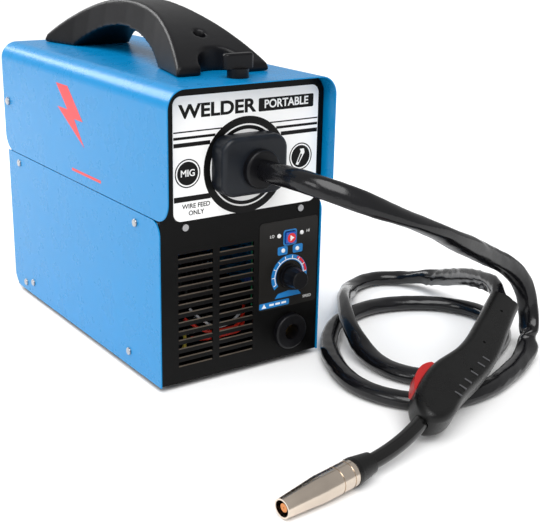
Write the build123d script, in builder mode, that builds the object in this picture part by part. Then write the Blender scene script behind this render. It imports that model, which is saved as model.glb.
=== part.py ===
"""Portable wire-feed welder: a steel case with a tilting hood, and a torch on its lead.

Frame: millimetres, +X to the viewer's right, the control panel faces -Y, +Z up.
Origin: the centre of the case's footprint, on the floor.
"""
import os
from math import cos, radians, sin, tan

from build123d import *

os.makedirs("parts", exist_ok=True)

# ---------------------------------------------------------------- driving dimensions
WIDTH = 200.0               # case, outside
DEPTH = 410.0               # hood, front edge to rear edge
BODY_HEIGHT = 309.0         # case, without its feet
FOOT_HEIGHT = 6.0
SHEET = 1.2                 # painted steel sheet
SEAM_HEIGHT = 178.0         # joint between hood and lower panels, above the case's bottom
SEAM_GAP = 1.0
SLIP = 0.3                  # gap between sheets that move on one another
HOOD_BEND = 20.0            # outside radius of the hood's two long bends
HOOD_FRONT_CORNER = 22.0
HOOD_REAR_CORNER = 20.0
PANEL_SETBACK = 19.4        # control panel, behind the hood's front edge
PANEL_THICKNESS = 2.5
SIDE_FRONT_SETBACK = 17.7   # lower side panels, behind the hood's front edge
SIDE_REAR_SETBACK = 5.8
SIDE_FRONT_CORNER = 15.0
SIDE_REAR_CORNER = 18.0
REAR_SETBACK = 10.0         # rear panel, ahead of the hood's rear edge
PIVOT_SETBACK = 15.6        # hood pivot, ahead of the hood's rear edge
PIVOT_HEIGHT = 239.0        # hood pivot, above the case's bottom
PIVOT_RADIUS = 2.5
RUNNING_FIT = 0.05          # radial clearance of pins and shafts
GLAND_HEIGHT = 226.0        # torch outlet block, above the case's bottom
OUTLET_X = 4.0              # the lead and the wire run along this line
OUTLET_HEIGHT = 223.0
GLAND_WIDTH = 78.0
GLAND_TALL = 60.0
GLAND_DEPTH = 22.0
GLAND_COLLAR_RADIUS = 20.0
LEAD_DIAMETER = 18.0
SLOT_PITCH = 9.7
SLOT_HEIGHT = 5.5
SLOT_ROWS = 13
SOCKET_BORE = 4.55          # radius of the earth plug's bore
SOCKET_DEPTH = 22.0
FAN_SIZE = 92.0
FAN_DEPTH = 25.0
SPOOL_RADIUS = 50.0
SPOOL_WIDTH = 45.0
WIRE_COIL_RADIUS = 42.0
ROLLER_RADIUS = 15.0
HANDLE_RISE = 62.0          # carrying handle's crown, above the hood
HANDLE_GRIP = 30.0          # thickness of the grip at its crown
NECK_RADIUS = 7.5
NECK_BEND_RADIUS = 274.0
NECK_BEND_ANGLE = 20.5
NOZZLE_RADIUS = 12.5
NOZZLE_TIP_RADIUS = 9.0
NOZZLE_LENGTH = 80.0
GRIP_THICKNESS = 32.0       # torch handle, across its two halves
GRIP_LENGTH = 208.0

# ---------------------------------------------------------------- places worked out
FRONT = -DEPTH / 2
REAR = DEPTH / 2
TOP = FOOT_HEIGHT + BODY_HEIGHT
FLOOR_Z = FOOT_HEIGHT                       # underside of the case
SEAM = FOOT_HEIGHT + SEAM_HEIGHT
INNER = WIDTH / 2 - SHEET                   # inside face of hood and side panels
PANEL_FACE = FRONT + PANEL_SETBACK
PANEL_BACK = PANEL_FACE + PANEL_THICKNESS
SIDE_FRONT = FRONT + SIDE_FRONT_SETBACK
SIDE_REAR = REAR - SIDE_REAR_SETBACK
REAR_FACE = REAR - REAR_SETBACK
REAR_INSIDE = REAR_FACE - SHEET
PIVOT_Y = REAR - PIVOT_SETBACK
PIVOT_Z = FOOT_HEIGHT + PIVOT_HEIGHT
GLAND_Z = FOOT_HEIGHT + GLAND_HEIGHT
OUTLET_Z = FOOT_HEIGHT + OUTLET_HEIGHT
GLAND_FACE = PANEL_FACE - GLAND_DEPTH
LEAD_RADIUS = LEAD_DIAMETER / 2
PANEL_EDGE = INNER - 2 * SLIP               # half width of front and rear panel
PANEL_TOP = TOP - SHEET - 4 * SLIP
PANEL_CORNER = HOOD_BEND - SHEET - 2 * SLIP
SHELF_Z = SEAM - 4.0                        # underside of the shelf


def save(part, name):
    """Label a finished piece and write it to its own STEP file."""
    part.label = name
    export_step(part, f"parts/{name}.step")


def front_plane(y):
    """Plane facing -Y at a given y: sketch x is the frame's X, sketch y is its Z."""
    return Plane(origin=(0, y, 0), x_dir=(1, 0, 0), z_dir=(0, -1, 0))


def panel_outline(plane, bottom):
    """Outline shared by front and rear panel: square below, rounded under the hood."""
    with BuildSketch(plane) as outline:
        with Locations((0, (bottom + PANEL_TOP) / 2)):
            Rectangle(2 * PANEL_EDGE, PANEL_TOP - bottom)
        fillet(outline.vertices().group_by(Axis.Y)[-1], PANEL_CORNER)
    return outline.sketch


# ================================================================ CASE
# Side screws as (y, z): two under the seam, three along the bottom edge.
SEAM_SCREWS = [(REAR - 40, SEAM - 12), (FRONT + 67, SEAM - 13)]
FOOT_SCREWS = [(REAR - 42, FLOOR_Z + 11), (REAR - 65, FLOOR_Z + 17), (FRONT + 87, FLOOR_Z + 17)]
SIDE_SCREWS = SEAM_SCREWS + FOOT_SCREWS
SCREW_SHANK = 2.0
SCREW_HEAD = 4.2
SCREW_HEAD_TALL = 2.2
TRAY_FLANGE = 34.0
TRAY_FRONT = PANEL_BACK
TRAY_REAR = REAR_INSIDE

with BuildPart() as base_tray:
    with BuildSketch(Plane.XZ.offset(-TRAY_REAR)) as tray_section:
        with Locations((0, FLOOR_Z + TRAY_FLANGE / 2)):
            Rectangle(2 * INNER, TRAY_FLANGE)
        with Locations((0, FLOOR_Z + SHEET + TRAY_FLANGE / 2)):
            Rectangle(2 * (INNER - SHEET), TRAY_FLANGE, mode=Mode.SUBTRACT)
    extrude(amount=TRAY_REAR - TRAY_FRONT)
    with BuildSketch(Plane.XY.offset(FLOOR_Z)):
        with GridLocations(0, 98, 1, 2):
            with GridLocations(0, 14, 1, 5):
                SlotOverall(90, 5)
    extrude(amount=SHEET, mode=Mode.SUBTRACT)
    with BuildSketch(Plane.YZ.offset(-INNER)):
        with Locations(*FOOT_SCREWS):
            Circle(SCREW_SHANK)
    extrude(amount=2 * INNER, mode=Mode.SUBTRACT)
save(base_tray.part, "base_tray")


# Side panels: flat painted sheets screwed to the tray and the shelf.
def make_side_panel(side):
    """Lower side panel, side = -1 for the left one and +1 for the right one."""
    with BuildPart() as panel:
        with BuildSketch(Plane.YZ.offset(INNER if side > 0 else -WIDTH / 2)) as face:
            with Locations(((SIDE_FRONT + SIDE_REAR) / 2, (FLOOR_Z + SEAM - SEAM_GAP) / 2)):
                Rectangle(SIDE_REAR - SIDE_FRONT, SEAM - SEAM_GAP - FLOOR_Z)
            fillet(face.vertices().group_by(Axis.Y)[-1].sort_by(Axis.X)[0], SIDE_FRONT_CORNER)
            fillet(face.vertices().group_by(Axis.Y)[0].sort_by(Axis.X)[-1], SIDE_REAR_CORNER)
            with Locations(*SIDE_SCREWS):
                Circle(SCREW_SHANK, mode=Mode.SUBTRACT)
        extrude(amount=SHEET)
    return panel.part


save(make_side_panel(-1), "side_panel_left")
save(make_side_panel(1), "side_panel_right")

# Shelf: divides the wire compartment above from the power compartment below.
SHELF_FLANGE = 24.0
SHELF_FRONT = PANEL_BACK + 1
SHELF_REAR = REAR_INSIDE - 24
with BuildPart() as shelf:
    with BuildSketch(Plane.XZ.offset(-SHELF_REAR)) as shelf_section:
        with Locations((0, SHELF_Z + SHEET - SHELF_FLANGE / 2)):
            Rectangle(2 * INNER, SHELF_FLANGE)
        with Locations((0, SHELF_Z - SHELF_FLANGE / 2)):
            Rectangle(2 * (INNER - SHEET), SHELF_FLANGE, mode=Mode.SUBTRACT)
    extrude(amount=SHELF_REAR - SHELF_FRONT)
    with BuildSketch(Plane.YZ.offset(-INNER)):
        with Locations(*SEAM_SCREWS):
            Circle(SCREW_SHANK)
    extrude(amount=2 * INNER, mode=Mode.SUBTRACT)
    with BuildSketch(Plane.XY.offset(SHELF_Z)):
        with Locations((75, SHELF_FRONT + 40), (-75, SHELF_REAR - 30)):
            Circle(9)
    extrude(amount=SHEET, mode=Mode.SUBTRACT)
save(shelf.part, "shelf")

# Front panel: black sheet with two columns of louvre slots and the control openings.
LEFT_SLOTS = (-78.0, -37.0)
RIGHT_SLOTS = (-29.0, 13.5)
SLOT_TOP = FLOOR_Z + 137.0
BUTTON_X, BUTTON_Z = 59.4, FLOOR_Z + 137.0
BUTTON_SIDE = 13.0
LED_SPOTS = [(44.9, FLOOR_Z + 140.5), (74.6, FLOOR_Z + 140.3),
             (50.6, FLOOR_Z + 123.5), (69.2, FLOOR_Z + 123.2)]
LED_RADIUS = 2.4
DIAL_X, DIAL_Z = 59.5, FLOOR_Z + 94.0
SHAFT_RADIUS = 3.0
SOCKET_X, SOCKET_Z = 61.0, FLOOR_Z + 30.0
SOCKET_BODY = 17.0
PANEL_SCREW_SPOTS = [(-70.0, FLOOR_Z + 167.5), (71.6, FLOOR_Z + 168.0)]
GLAND_STEM = 16.0
PANEL_BOTTOM = FLOOR_Z + 0.5

with BuildPart() as front_panel:
    extrude(panel_outline(front_plane(PANEL_FACE), PANEL_BOTTOM), amount=-PANEL_THICKNESS)
    with BuildSketch(front_plane(PANEL_FACE)):
        for left, right in (LEFT_SLOTS, RIGHT_SLOTS):
            for row in range(SLOT_ROWS):
                with Locations(((left + right) / 2, SLOT_TOP - row * SLOT_PITCH)):
                    Rectangle(right - left, SLOT_HEIGHT)
        with Locations((BUTTON_X, BUTTON_Z)):
            RectangleRounded(BUTTON_SIDE + 2 * SLIP, BUTTON_SIDE + 2 * SLIP, 2.5)
        with Locations(*LED_SPOTS):
            Circle(LED_RADIUS)
        with Locations((DIAL_X, DIAL_Z)):
            Circle(SHAFT_RADIUS + 1)
        with Locations((SOCKET_X, SOCKET_Z)):
            Circle(SOCKET_BODY)
        with Locations((OUTLET_X, OUTLET_Z)):
            Circle(GLAND_STEM)
        with Locations(*PANEL_SCREW_SPOTS):
            Circle(SCREW_SHANK)
    extrude(amount=-PANEL_THICKNESS, mode=Mode.SUBTRACT)
save(front_panel.part, "front_panel")

# Front artwork plates: a white fascia above, a dark control plate at lower right.
PLATE = 0.5
LABEL_LEFT, LABEL_RIGHT = -83.0, 91.0
LABEL_LOW, LABEL_HIGH = FLOOR_Z + 174.0, FLOOR_Z + 298.0
with BuildPart() as front_label:
    with BuildSketch(front_plane(PANEL_FACE)):
        with Locations(((LABEL_LEFT + LABEL_RIGHT) / 2, (LABEL_LOW + LABEL_HIGH) / 2)):
            RectangleRounded(LABEL_RIGHT - LABEL_LEFT, LABEL_HIGH - LABEL_LOW, 9)
        with Locations((OUTLET_X, OUTLET_Z)):
            Circle(GLAND_STEM, mode=Mode.SUBTRACT)
    extrude(amount=PLATE)
save(front_label.part, "front_label")

with BuildPart() as control_plate:
    with BuildSketch(front_plane(PANEL_FACE)):
        with Locations((58, FLOOR_Z + 108)):
            RectangleRounded(76, 98, 4)
        with Locations((BUTTON_X, BUTTON_Z)):
            RectangleRounded(BUTTON_SIDE + 2 * SLIP, BUTTON_SIDE + 2 * SLIP, 2.5, mode=Mode.SUBTRACT)
        with Locations(*LED_SPOTS):
            Circle(LED_RADIUS, mode=Mode.SUBTRACT)
        with Locations((DIAL_X, DIAL_Z)):
            Circle(SHAFT_RADIUS + 1, mode=Mode.SUBTRACT)
    extrude(amount=PLATE)
save(control_plate.part, "control_plate")

# Pan-head screws: ten hold the side panels, two the control panel.
with BuildPart() as panel_screws:
    for side in (-1, 1):
        for y, z in SIDE_SCREWS:
            with BuildSketch(Plane(origin=(side * WIDTH / 2, y, z), z_dir=(side, 0, 0))):
                Circle(SCREW_HEAD)
            extrude(amount=SCREW_HEAD_TALL)
            with BuildSketch(Plane(origin=(side * WIDTH / 2, y, z), z_dir=(-side, 0, 0))):
                Circle(SCREW_SHANK)
            extrude(amount=2 * SHEET + 3)
    fillet(panel_screws.edges().filter_by(GeomType.CIRCLE).filter_by(
        lambda edge: abs(abs(edge.center().X) - WIDTH / 2 - SCREW_HEAD_TALL) < 0.01), 1.2)
    for x, z in PANEL_SCREW_SPOTS:
        with BuildSketch(front_plane(PANEL_FACE)):
            with Locations((x, z)):
                Circle(SCREW_HEAD - 0.6)
        extrude(amount=SCREW_HEAD_TALL - 0.4)
        with BuildSketch(front_plane(PANEL_FACE)):
            with Locations((x, z)):
                Circle(SCREW_SHANK)
        extrude(amount=-PANEL_THICKNESS)
save(panel_screws.part, "panel_screws")

# Rear panel: flanged sheet that carries the hood's pivots, the fan and the mains inlet.
REAR_FLANGE = 22.0
FLANGE_X = INNER - SLIP - SHEET
FAN_Z = FLOOR_Z + 62.0
SWITCH_Z = FLOOR_Z + 150.0
SWITCH_X = -55.0
SWITCH_WIDE, SWITCH_TALL = 22.0, 30.0
INLET_X, INLET_Z = 55.0, FLOOR_Z + 150.0
INLET_RADIUS = 9.0
with BuildPart() as rear_panel:
    extrude(panel_outline(front_plane(REAR_INSIDE), FLOOR_Z), amount=-SHEET)
    for side in (-1, 1):
        flange_low = SEAM + 6
        flange_high = TOP - HOOD_BEND - 6
        with BuildSketch(Plane.YZ.offset(FLANGE_X if side > 0 else -FLANGE_X - SHEET)):
            with Locations((REAR_INSIDE - REAR_FLANGE / 2, (flange_low + flange_high) / 2)):
                Rectangle(REAR_FLANGE, flange_high - flange_low)
            with Locations((PIVOT_Y, PIVOT_Z)):
                Circle(PIVOT_RADIUS, mode=Mode.SUBTRACT)
        extrude(amount=SHEET)
    with BuildSketch(front_plane(REAR_INSIDE)):
        for row in range(7):
            height = (row - 3) * 10.0
            reach = 2 * (40.0 ** 2 - height ** 2) ** 0.5
            with Locations((0, FAN_Z + height)):
                SlotOverall(reach, 5)
        with Locations((SWITCH_X, SWITCH_Z)):
            Rectangle(SWITCH_WIDE, SWITCH_TALL)
        with Locations((INLET_X, INLET_Z)):
            Circle(INLET_RADIUS)
        for row in range(5):
            with Locations((0, SEAM + 40 + 10 * row)):
                SlotOverall(90, 5)
    extrude(amount=-SHEET, mode=Mode.SUBTRACT)
save(rear_panel.part, "rear_panel")

# Hood: one sheet bent over the top, tilting back on two screws at its rear.
HANDLE_BOLT_FRONT = FRONT + 107.0
HANDLE_BOLT_REAR = REAR - 45.0
HANDLE_BOLT = 3.0
KNOB_Y = FRONT + 33.0
STUD_RADIUS = 3.0
with BuildPart() as hood:
    with BuildSketch(Plane.XZ.offset(-REAR)) as hood_section:
        with Locations((0, (SEAM + TOP) / 2)):
            Rectangle(WIDTH, TOP - SEAM)
        fillet(hood_section.vertices().group_by(Axis.Y)[-1], HOOD_BEND)
    extrude(amount=DEPTH)
    with BuildSketch(Plane.XZ.offset(-REAR)) as hood_hollow:
        with Locations((0, (SEAM + TOP - SHEET) / 2)):
            Rectangle(2 * INNER, TOP - SHEET - SEAM)
        fillet(hood_hollow.vertices().group_by(Axis.Y)[-1], HOOD_BEND - SHEET)
    extrude(amount=DEPTH, mode=Mode.SUBTRACT)
    with BuildSketch(Plane.YZ.offset(-WIDTH)) as hood_side:
        with Locations((0, (SEAM + TOP) / 2)):
            Rectangle(DEPTH, TOP - SEAM)
        fillet(hood_side.vertices().group_by(Axis.Y)[0].sort_by(Axis.X)[0], HOOD_FRONT_CORNER)
        fillet(hood_side.vertices().group_by(Axis.Y)[0].sort_by(Axis.X)[-1], HOOD_REAR_CORNER)
    extrude(amount=2 * WIDTH, mode=Mode.INTERSECT)
    with BuildSketch(Plane.YZ.offset(-WIDTH)):
        with Locations((PIVOT_Y, PIVOT_Z)):
            Circle(PIVOT_RADIUS + RUNNING_FIT)
    extrude(amount=2 * WIDTH, mode=Mode.SUBTRACT)
    with BuildSketch(Plane.XY.offset(TOP - 2 * SHEET)):
        with Locations((0, KNOB_Y)):
            Circle(STUD_RADIUS + RUNNING_FIT)
        with Locations((0, HANDLE_BOLT_FRONT), (0, HANDLE_BOLT_REAR)):
            Circle(HANDLE_BOLT)
    extrude(amount=3 * SHEET, mode=Mode.SUBTRACT)
save(hood.part, "hood")

# Pivot screws: they stand in the rear panel's flanges and the hood turns on them.
PIVOT_HEAD = 4.6
with BuildPart() as pivot_screws:
    for side in (-1, 1):
        with BuildSketch(Plane(origin=(side * FLANGE_X, PIVOT_Y, PIVOT_Z), z_dir=(side, 0, 0))):
            Circle(PIVOT_RADIUS)
        extrude(amount=SHEET + SLIP + SHEET + SLIP)
        with BuildSketch(Plane(origin=(side * (WIDTH / 2 + SLIP), PIVOT_Y, PIVOT_Z), z_dir=(side, 0, 0))):
            Circle(PIVOT_HEAD)
        extrude(amount=SCREW_HEAD_TALL + 0.6)
    fillet(pivot_screws.edges().filter_by(GeomType.CIRCLE).filter_by(
        lambda edge: abs(edge.center().X) > WIDTH / 2 + 1), 1.4)
save(pivot_screws.part, "pivot_screws")

# Hood lock: a bracket behind the control panel takes the thumb knob's stud.
LOCK_Z = TOP - 16
LOCK_HOLE = STUD_RADIUS + 2.2
with BuildPart() as lock_bracket:
    with BuildSketch(Plane.XY.offset(LOCK_Z)):
        with Locations((0, (PANEL_BACK + KNOB_Y + 12) / 2)):
            Rectangle(34, KNOB_Y + 12 - PANEL_BACK)
        with Locations((0, KNOB_Y)):
            Circle(LOCK_HOLE, mode=Mode.SUBTRACT)
    extrude(amount=1.5)
    with BuildSketch(Plane.XY.offset(LOCK_Z - 22)):
        with Locations((0, PANEL_BACK + 0.75)):
            Rectangle(34, 1.5)
    extrude(amount=22)
save(lock_bracket.part, "lock_bracket")

# Thumb knob with its moulded-in stud.
KNOB_BASE = 11.0
KNOB_GAP = 0.3
with BuildPart() as lock_knob:
    with BuildSketch(Plane.XY.offset(TOP + KNOB_GAP)):
        with Locations((0, KNOB_Y)):
            Circle(KNOB_BASE)
    extrude(amount=9)
    with BuildSketch(Plane.XY.offset(TOP + KNOB_GAP + 9)):
        with Locations((0, KNOB_Y)):
            RectangleRounded(34, 9.5, 4.5)
    extrude(amount=15)
    fillet(lock_knob.edges().group_by(Axis.Z)[-1], 2.5)
    with BuildSketch(Plane.XY.offset(LOCK_Z - 3)):
        with Locations((0, KNOB_Y)):
            Circle(STUD_RADIUS)
    extrude(amount=TOP + KNOB_GAP - LOCK_Z + 3)
save(lock_knob.part, "lock_knob")

# ================================================================ CARRYING HANDLE
HANDLE_TOP = TOP + HANDLE_RISE
HANDLE_FRONT = FRONT + 57.0
HANDLE_REAR = REAR - 17.0
HANDLE_EDGE = 8.0           # height of the handle's two ends
HANDLE_DRAFT = 10.0         # slope of the sides, degrees
COVE_RADIUS = 27.0
OPENING_FRONT = FRONT + 124.0
OPENING_REAR = REAR - 72.0
# Half widths of the foot, as (y, half width), where it stands on the hood.
HANDLE_PLAN = [(HANDLE_FRONT, 56), (HANDLE_FRONT + 22, 50.5), (HANDLE_FRONT + 45, 45), (HANDLE_FRONT + 68, 40),
               (HANDLE_FRONT + 95, 35), (HANDLE_FRONT + 125, 32), (20, 31), (70, 32), (105, 34.5), (133, 38.5),
               (160, 44.5), (HANDLE_REAR, 51)]
with BuildPart() as handle:
    with BuildSketch(Plane.YZ.offset(-WIDTH / 2)):
        with BuildLine():
            front_edge = (HANDLE_FRONT, TOP + HANDLE_EDGE)
            rear_edge = (HANDLE_REAR, TOP + HANDLE_EDGE)
            Line((HANDLE_FRONT, TOP), front_edge)
            ThreePointArc(front_edge, ((HANDLE_FRONT + HANDLE_REAR) / 2, HANDLE_TOP), rear_edge)
            Line(rear_edge, (HANDLE_REAR, TOP))
            Line((HANDLE_REAR, TOP), (HANDLE_FRONT, TOP))
        make_face()
        with BuildLine():
            gap_front = (OPENING_FRONT, TOP - 1)
            gap_rear = (OPENING_REAR, TOP - 1)
            Line(gap_rear, gap_front)
            ThreePointArc(gap_front, (12, HANDLE_TOP - HANDLE_GRIP), gap_rear)
        make_face(mode=Mode.SUBTRACT)
    extrude(amount=WIDTH)
    with BuildSketch(Plane.XY.offset(TOP)):
        Polygon(*[(half, y) for y, half in HANDLE_PLAN],
                *[(-half, y) for y, half in reversed(HANDLE_PLAN)], align=None)
    extrude(amount=HANDLE_RISE + 2, taper=HANDLE_DRAFT, mode=Mode.INTERSECT)
    # Arched cove at the front, where the thumb knob turns.
    with BuildSketch(Plane.XY.offset(TOP)):
        with Locations((0, HANDLE_FRONT)):
            Circle(COVE_RADIUS)
    extrude(amount=30, mode=Mode.SUBTRACT)
    # Counterbored screw holes on the centre line.
    with BuildSketch(Plane.XY.offset(TOP - 1)):
        with Locations((0, HANDLE_BOLT_FRONT), (0, HANDLE_BOLT_REAR)):
            Circle(HANDLE_BOLT)
    extrude(amount=HANDLE_RISE + 2, mode=Mode.SUBTRACT)
    with BuildSketch(Plane.XY.offset(TOP + 14)):
        with Locations((0, HANDLE_BOLT_FRONT), (0, HANDLE_BOLT_REAR)):
            Circle(6.5)
    extrude(amount=HANDLE_RISE, mode=Mode.SUBTRACT)
    crest = handle.edges().filter_by(lambda edge: edge.center().Z > HANDLE_TOP - 12 and edge.length > 20)
    fillet(crest.filter_by(lambda edge: abs(edge.center().X) > 15), 3)
save(handle.part, "handle")

with BuildPart() as handle_screws:
    for bolt_y in (HANDLE_BOLT_FRONT, HANDLE_BOLT_REAR):
        with BuildSketch(Plane.XY.offset(TOP - SHEET - 3)):
            with Locations((0, bolt_y)):
                Circle(HANDLE_BOLT)
        extrude(amount=14 + SHEET + 3)
        with BuildSketch(Plane.XY.offset(TOP + 14)):
            with Locations((0, bolt_y)):
                Circle(5.5)
        extrude(amount=4)
save(handle_screws.part, "handle_screws")

# ================================================================ CONTROLS
with BuildPart() as mode_button:
    with BuildSketch(front_plane(PANEL_FACE - 3.5)):
        with Locations((BUTTON_X, BUTTON_Z)):
            RectangleRounded(BUTTON_SIDE, BUTTON_SIDE, 2.2)
    extrude(amount=-7)
    fillet(mode_button.edges().group_by(Axis.Y)[0], 1)
save(mode_button.part, "mode_button")

with BuildPart() as indicator_leds:
    with BuildSketch(front_plane(PANEL_FACE)):
        with Locations(*LED_SPOTS):
            Circle(LED_RADIUS)
    extrude(amount=PLATE + 1.2)
    fillet(indicator_leds.edges().group_by(Axis.Y)[0], 1)
    with BuildSketch(front_plane(PANEL_FACE)):
        with Locations(*LED_SPOTS):
            Circle(LED_RADIUS)
    extrude(amount=-PANEL_THICKNESS)
save(indicator_leds.part, "indicator_leds")

DIAL_GAP = 0.4
DIAL_LENGTH = 21.0
DIAL_BACK = PANEL_FACE - PLATE - DIAL_GAP
with BuildPart() as dial_knob:
    with BuildSketch(front_plane(DIAL_BACK)):
        with Locations((DIAL_X, DIAL_Z)):
            Circle(13.5)
    extrude(amount=4)
    with BuildSketch(front_plane(DIAL_BACK - 4)):
        with Locations((DIAL_X, DIAL_Z)):
            RegularPolygon(11.5, 12)
    extrude(amount=DIAL_LENGTH - 4, taper=5)
    fillet(dial_knob.edges().group_by(Axis.Y)[0], 1.2)
    with BuildSketch(front_plane(DIAL_BACK)):
        with Locations((DIAL_X, DIAL_Z)):
            Circle(SHAFT_RADIUS + RUNNING_FIT)
    extrude(amount=14, mode=Mode.SUBTRACT)
save(dial_knob.part, "dial_knob")

BOARD_Y = PANEL_BACK + 12.0
BOARD = 1.6
POT_FACE = BOARD_Y - 8.0
with BuildPart() as potentiometer:
    with BuildSketch(front_plane(POT_FACE)):
        with Locations((DIAL_X, DIAL_Z)):
            Circle(8)
    extrude(amount=-(BOARD_Y - POT_FACE))
    with BuildSketch(front_plane(POT_FACE)):
        with Locations((DIAL_X, DIAL_Z)):
            Circle(SHAFT_RADIUS)
    extrude(amount=POT_FACE - DIAL_BACK + 12)
save(potentiometer.part, "potentiometer")

with BuildPart() as control_board:
    with BuildSketch(front_plane(BOARD_Y)):
        with Locations((58, FLOOR_Z + 108)):
            Rectangle(74, 92)
    extrude(amount=-BOARD)
save(control_board.part, "control_board")

with BuildPart() as board_components:
    for x, z, radius, tall in ((32, 84, 6, 22), (46, 84, 6, 22), (84, 84, 8, 26), (34, 146, 5, 16)):
        with BuildSketch(front_plane(BOARD_Y + BOARD)):
            with Locations((x, FLOOR_Z + z)):
                Circle(radius)
        extrude(amount=-tall)
    for x, z, wide, high in ((60, 124, 26, 20), (82, 142, 16, 12), (62, 100, 12, 12)):
        with BuildSketch(front_plane(BOARD_Y + BOARD)):
            with Locations((x, FLOOR_Z + z)):
                Rectangle(wide, high)
        extrude(amount=-7)
save(board_components.part, "board_components")

# Earth socket: the moulded ring on the panel and the brass bore inside it.
SOCKET_FLANGE = 20.0
SOCKET_INSERT = PANEL_FACE + 12.0
with BuildPart() as earth_socket_body:
    with BuildSketch(front_plane(PANEL_FACE)):
        with Locations((SOCKET_X, SOCKET_Z)):
            Circle(SOCKET_FLANGE)
    extrude(amount=7)
    fillet(earth_socket_body.edges().group_by(Axis.Y)[0], 2.5)
    with BuildSketch(front_plane(PANEL_FACE)):
        with Locations((SOCKET_X, SOCKET_Z)):
            Circle(SOCKET_BODY)
    extrude(amount=-26)
    with BuildSketch(front_plane(PANEL_FACE - 7)):
        with Locations((SOCKET_X, SOCKET_Z)):
            Circle(9)
    extrude(amount=-33, mode=Mode.SUBTRACT)
save(earth_socket_body.part, "earth_socket_body")

with BuildPart() as earth_socket_insert:
    with BuildSketch(front_plane(SOCKET_INSERT)):
        with Locations((SOCKET_X, SOCKET_Z)):
            Circle(9)
            Circle(SOCKET_BORE, mode=Mode.SUBTRACT)
    extrude(amount=-SOCKET_DEPTH)
    with BuildSketch(front_plane(SOCKET_INSERT + SOCKET_DEPTH)):
        with Locations((SOCKET_X, SOCKET_Z)):
            Circle(9)
    extrude(amount=-3)
    with BuildSketch(front_plane(SOCKET_INSERT + SOCKET_DEPTH + 3)):
        with Locations((SOCKET_X, SOCKET_Z)):
            Circle(4)
    extrude(amount=-10)
save(earth_socket_insert.part, "earth_socket_insert")

# Torch outlet: square moulded block, round collar, and the brass adaptor behind.
COLLAR_RISE = 8.0
COLLAR_FACE = GLAND_FACE - COLLAR_RISE
with BuildPart() as gland_block:
    with BuildSketch(front_plane(PANEL_FACE - PLATE)):
        with Locations((0, GLAND_Z)):
            RectangleRounded(GLAND_WIDTH, GLAND_TALL, 16)
    extrude(amount=GLAND_DEPTH - PLATE)
    fillet(gland_block.edges().group_by(Axis.Y)[0], 5)
    with BuildSketch(front_plane(PANEL_FACE - PLATE)):
        with Locations((OUTLET_X, OUTLET_Z)):
            Circle(GLAND_STEM)
    extrude(amount=-PLATE - PANEL_THICKNESS - 8)
    with BuildSketch(front_plane(GLAND_FACE)):
        with Locations((OUTLET_X, OUTLET_Z)):
            Circle(GLAND_STEM - 3)
    extrude(amount=-GLAND_DEPTH - 11, mode=Mode.SUBTRACT)
save(gland_block.part, "gland_block")

with BuildPart() as gland_collar:
    with BuildSketch(front_plane(GLAND_FACE)):
        with Locations((OUTLET_X, OUTLET_Z)):
            Circle(GLAND_COLLAR_RADIUS)
    extrude(amount=COLLAR_RISE)
    fillet(gland_collar.edges().group_by(Axis.Y)[0], 3)
    with BuildSketch(front_plane(GLAND_FACE)):
        with Locations((OUTLET_X, OUTLET_Z)):
            Circle(GLAND_STEM - 3)
    extrude(amount=-10)
    with BuildSketch(front_plane(COLLAR_FACE)):
        with Locations((OUTLET_X, OUTLET_Z)):
            Circle(LEAD_RADIUS)
    extrude(amount=-COLLAR_RISE - 10, mode=Mode.SUBTRACT)
save(gland_collar.part, "gland_collar")

ADAPTOR_FRONT = GLAND_FACE + 10
with BuildPart() as torch_adaptor:
    with BuildSketch(front_plane(ADAPTOR_FRONT)):
        with Locations((OUTLET_X, OUTLET_Z)):
            Circle(GLAND_STEM - 3)
    extrude(amount=-(PANEL_BACK + 8 - ADAPTOR_FRONT))
    with BuildSketch(front_plane(PANEL_BACK + 8)):
        with Locations((OUTLET_X, OUTLET_Z)):
            Circle(8)
    extrude(amount=-16)
    with BuildSketch(front_plane(ADAPTOR_FRONT)):
        with Locations((OUTLET_X, OUTLET_Z)):
            Circle(1.5)
    extrude(amount=-60, mode=Mode.SUBTRACT)
save(torch_adaptor.part, "torch_adaptor")

# ================================================================ POWER COMPARTMENT
CORE_X, CORE_Y = -30.0, 20.0
CORE_WIDE, CORE_TALL, CORE_DEEP = 100.0, 85.0, 50.0
LIMB = 30.0
COIL_GAP = 0.5
CORE_BASE = FLOOR_Z + SHEET
with BuildPart() as transformer_core:
    with BuildSketch(front_plane(CORE_Y - CORE_DEEP / 2)):
        with Locations((CORE_X, CORE_BASE + CORE_TALL / 2)):
            Rectangle(CORE_WIDE, CORE_TALL)
            with Locations((-LIMB / 2 - 10, 0), (LIMB / 2 + 10, 0)):
                Rectangle(20, CORE_TALL - LIMB, mode=Mode.SUBTRACT)
    extrude(amount=-CORE_DEEP)
save(transformer_core.part, "transformer_core")

COIL_LOW = CORE_BASE + LIMB / 2 + COIL_GAP
COIL_TALL = (CORE_TALL - LIMB - 3 * COIL_GAP) / 2


def make_winding(bottom):
    """One rectangular winding round the core's middle limb."""
    with BuildPart() as winding:
        with BuildSketch(Plane.XY.offset(bottom)):
            with Locations((CORE_X, CORE_Y)):
                RectangleRounded(LIMB + 38, CORE_DEEP + 38, 14)
                Rectangle(LIMB + 2 * COIL_GAP, CORE_DEEP + 2 * COIL_GAP, mode=Mode.SUBTRACT)
        extrude(amount=COIL_TALL)
    return winding.part


save(make_winding(COIL_LOW), "transformer_primary")
save(make_winding(COIL_LOW + COIL_TALL + COIL_GAP), "transformer_secondary")

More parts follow.
